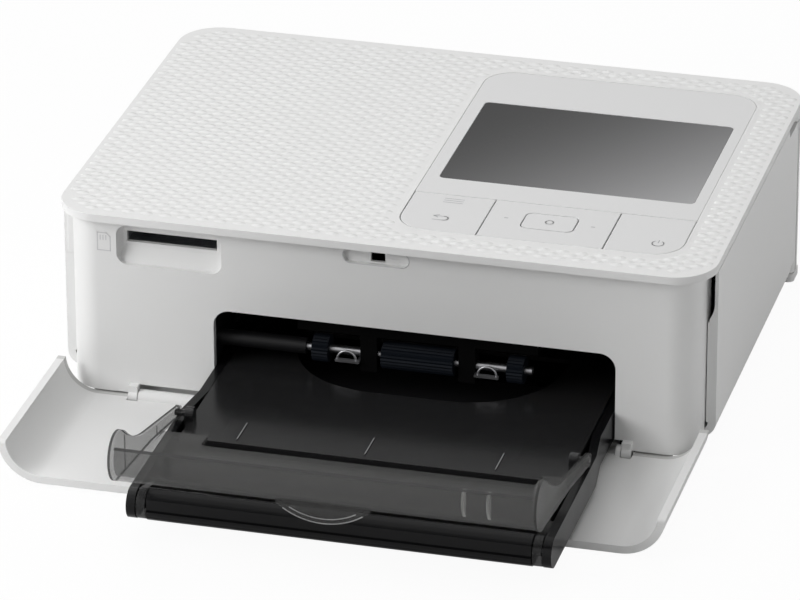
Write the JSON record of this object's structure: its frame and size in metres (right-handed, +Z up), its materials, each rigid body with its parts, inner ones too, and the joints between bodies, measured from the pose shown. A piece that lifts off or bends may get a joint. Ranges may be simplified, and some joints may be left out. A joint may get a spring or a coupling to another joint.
{
  "type": "photo printer",
  "caption": "Compact desktop photo printer with its front cover folded down, the paper cassette in place and the smoke outer lid raised.",
  "frame": {"origin": "on the desk below the middle of the whole, from the front of the raised lid to the back of the body", "axes": "+X to the right seen from the front, +Y towards the back, +Z up; the front faces -Y"},
  "size_m": [0.1822, 0.2234, 0.0576],
  "materials": {
    "white_plastic": "satin white moulded plastic",
    "foot_rubber": "grey rubber",
    "pin_steel": "plain steel",
    "panel_plastic": "fine matt white plastic",
    "circuit_board": "green circuit board with dark parts",
    "window_glass": "dark clear window",
    "display_body": "metal frame with a dark screen",
    "chassis_steel": "zinc plated sheet",
    "black_plastic": "glossy black plastic",
    "matt_black_plastic": "matt black plastic",
    "roller_rubber": "dark blue-grey rubber",
    "gear_plastic": "natural white plastic",
    "head_aluminium": "cast aluminium with a ceramic edge",
    "motor_steel": "plated steel can",
    "pinion_brass": "turned brass",
    "ribbon": "dye-coated film",
    "smoke_plastic": "clear smoke plastic",
    "grey_plastic": "grey plastic"
  },
  "bodies": {
    "printer": {"base_tray": "white_plastic", "rubber_feet": "foot_rubber", "front_shell": "white_plastic", "left_side_panel": "white_plastic", "rear_panel": "white_plastic", "top_cover": "white_plastic", "right_side_frame": "white_plastic", "side_cover_pins": "pin_steel", "front_cover_pins": "pin_steel", "control_panel": "panel_plastic", "key_board": "circuit_board", "display_window": "window_glass", "display_module": "display_body", "card_socket": "chassis_steel", "main_board": "circuit_board", "dc_inlet": "matt_black_plastic", "usb_port": "chassis_steel", "left_chassis": "chassis_steel", "right_chassis": "chassis_steel", "cassette_tunnel": "matt_black_plastic", "pickup_bracket": "matt_black_plastic", "paper_spring_left": "pin_steel", "paper_spring_right": "pin_steel", "rear_paper_guide": "matt_black_plastic", "feed_motor": "motor_steel", "ribbon_motor": "motor_steel", "case_screws": "pin_steel"},
    "front_cover": {"front_cover": "white_plastic"},
    "side_cover": {"side_cover": "white_plastic"},
    "menu_key": {"menu_key": "panel_plastic"},
    "navigation_key": {"navigation_key": "panel_plastic"},
    "ok_key": {"ok_key": "panel_plastic"},
    "power_key": {"power_key": "panel_plastic"},
    "feed_roller": {"feed_roller": "pin_steel"},
    "feed_pinion": {"feed_pinion": "pinion_brass"},
    "pinch_roller": {"pinch_roller": "roller_rubber"},
    "platen_roller": {"platen_roller": "roller_rubber"},
    "idler_gear_rear": {"idler_gear_rear": "gear_plastic"},
    "idler_gear_middle": {"idler_gear_middle": "gear_plastic"},
    "idler_gear_front": {"idler_gear_front": "gear_plastic"},
    "pickup": {"pickup_shaft": "pin_steel", "pickup_roller_middle": "roller_rubber", "pickup_roller_left": "roller_rubber", "pickup_roller_right": "roller_rubber", "pickup_gear": "gear_plastic"},
    "take_up_drive": {"take_up_drive": "gear_plastic"},
    "ribbon_pinion": {"ribbon_pinion": "pinion_brass"},
    "supply_hub": {"supply_hub": "gear_plastic"},
    "ribbon_cartridge": {"ribbon_cartridge": "matt_black_plastic", "ribbon_film": "ribbon"},
    "supply_spool": {"supply_spool": "ribbon"},
    "take_up_spool": {"take_up_spool": "grey_plastic"},
    "print_head": {"print_head": "head_aluminium"},
    "cassette": {"cassette_base": "black_plastic", "inner_lid_pins": "pin_steel"},
    "lift_plate": {"lift_plate": "grey_plastic"},
    "inner_lid": {"inner_lid": "smoke_plastic"},
    "outer_lid": {"outer_lid": "smoke_plastic"}
  },
  "joints": [
    {"name": "front_cover_hinge", "type": "hinge", "parent": "printer", "child": "front_cover", "pos_m": [0, -0.0191, 0.0026], "axis": [-1, 0, 0], "range_deg": [0, 1.4]},
    {"name": "side_cover_hinge", "type": "hinge", "parent": "printer", "child": "side_cover", "pos_m": [0.0893, 0.0975, 0.03], "axis": [0, 0, 1], "range_deg": [0, 90]},
    {"name": "menu_key_press", "type": "slide", "parent": "printer", "child": "menu_key", "axis": [0, 0, -1], "range_m": [0, 0.0005], "stiffness_N_per_m": 200},
    {"name": "navigation_key_press", "type": "slide", "parent": "printer", "child": "navigation_key", "axis": [0, 0, -1], "range_m": [0, 0.0005], "stiffness_N_per_m": 200},
    {"name": "ok_key_press", "type": "slide", "parent": "printer", "child": "ok_key", "axis": [0, 0, -1], "range_m": [0, 0.0005], "stiffness_N_per_m": 200},
    {"name": "power_key_press", "type": "slide", "parent": "printer", "child": "power_key", "axis": [0, 0, -1], "range_m": [0, 0.0005], "stiffness_N_per_m": 200},
    {"name": "feed_roller_spin", "type": "hinge", "parent": "printer", "child": "feed_roller", "pos_m": [0, 0.0707, 0.0283], "axis": [1, 0, 0], "continuous": true},
    {"name": "feed_pinion_spin", "type": "hinge", "parent": "printer", "child": "feed_pinion", "pos_m": [0, 0.084, 0.02596], "axis": [1, 0, 0], "continuous": true},
    {"name": "pinch_roller_spin", "type": "hinge", "parent": "printer", "child": "pinch_roller", "pos_m": [0, 0.0707, 0.0211], "axis": [1, 0, 0], "continuous": true},
    {"name": "platen_roller_spin", "type": "hinge", "parent": "printer", "child": "platen_roller", "pos_m": [0, 0.0327, 0.0267], "axis": [1, 0, 0], "continuous": true},
    {"name": "idler_gear_rear_spin", "type": "hinge", "parent": "printer", "child": "idler_gear_rear", "pos_m": [0, 0.05379, 0.02659], "axis": [1, 0, 0], "continuous": true},
    {"name": "idler_gear_middle_spin", "type": "hinge", "parent": "printer", "child": "idler_gear_middle", "pos_m": [0, 0.02874, 0.03358], "axis": [1, 0, 0], "continuous": true},
    {"name": "idler_gear_front_spin", "type": "hinge", "parent": "printer", "child": "idler_gear_front", "pos_m": [0, 0.00561, 0.02171], "axis": [1, 0, 0], "continuous": true},
    {"name": "pickup_spin", "type": "hinge", "parent": "printer", "child": "pickup", "pos_m": [0, -0.0113, 0.02], "axis": [1, 0, 0], "continuous": true},
    {"name": "take_up_drive_spin", "type": "hinge", "parent": "printer", "child": "take_up_drive", "pos_m": [0, 0.0537, 0.0433], "axis": [1, 0, 0], "continuous": true},
    {"name": "ribbon_pinion_spin", "type": "hinge", "parent": "printer", "child": "ribbon_pinion", "pos_m": [0, 0.0657, 0.0433], "axis": [1, 0, 0], "continuous": true},
    {"name": "supply_hub_spin", "type": "hinge", "parent": "printer", "child": "supply_hub", "pos_m": [0, 0.0117, 0.0433], "axis": [1, 0, 0], "continuous": true},
    {"name": "ribbon_cartridge_slide", "type": "slide", "parent": "printer", "child": "ribbon_cartridge", "axis": [1, 0, 0], "range_m": [0, 0.048]},
    {"name": "supply_spool_spin", "type": "hinge", "parent": "ribbon_cartridge", "child": "supply_spool", "pos_m": [0, 0.0117, 0.0433], "axis": [1, 0, 0], "continuous": true},
    {"name": "take_up_spool_spin", "type": "hinge", "parent": "ribbon_cartridge", "child": "take_up_spool", "pos_m": [0, 0.0537, 0.0433], "axis": [1, 0, 0], "continuous": true},
    {"name": "print_head_press", "type": "slide", "parent": "printer", "child": "print_head", "axis": [0, 0, -1], "range_m": [0, 0.0056], "stiffness_N_per_m": 60, "springref_m": -0.01},
    {"name": "cassette_slide", "type": "slide", "parent": "printer", "child": "cassette", "axis": [0, -1, 0], "range_m": [0, 0.12]},
    {"name": "lift_plate_hinge", "type": "hinge", "parent": "cassette", "child": "lift_plate", "pos_m": [0, -0.0513, 0.008], "axis": [1, 0, 0], "range_deg": [0, 3]},
    {"name": "inner_lid_hinge", "type": "hinge", "parent": "cassette", "child": "inner_lid", "pos_m": [0, -0.092, 0.0099], "axis": [1, 0, 0], "range_deg": [0, 2.2]},
    {"name": "outer_lid_hinge", "type": "hinge", "parent": "inner_lid", "child": "outer_lid", "pos_m": [0, -0.0518, 0.0164], "axis": [-1, 0, 0], "range_deg": [0, 100]}
  ],
  "couplings": [
    {"joint": "feed_pinion_spin", "follows": "feed_roller_spin", "ratio": -3.5},
    {"joint": "pinch_roller_spin", "follows": "feed_roller_spin", "ratio": -1.3333},
    {"joint": "platen_roller_spin", "follows": "feed_roller_spin", "ratio": -0.66667},
    {"joint": "idler_gear_rear_spin", "follows": "feed_roller_spin", "ratio": -0.30769},
    {"joint": "idler_gear_middle_spin", "follows": "feed_roller_spin", "ratio": 0.30769},
    {"joint": "idler_gear_front_spin", "follows": "feed_roller_spin", "ratio": -0.30769},
    {"joint": "pickup_spin", "follows": "feed_roller_spin", "ratio": 1},
    {"joint": "ribbon_pinion_spin", "follows": "take_up_drive_spin", "ratio": -3},
    {"joint": "take_up_spool_spin", "follows": "take_up_drive_spin", "ratio": 1},
    {"joint": "supply_hub_spin", "follows": "take_up_drive_spin", "ratio": 0.78},
    {"joint": "supply_spool_spin", "follows": "take_up_drive_spin", "ratio": 0.78},
    {"joint": "ribbon_cartridge_slide", "follows": "side_cover_hinge", "m_per_rad": 0.03}
  ]
}
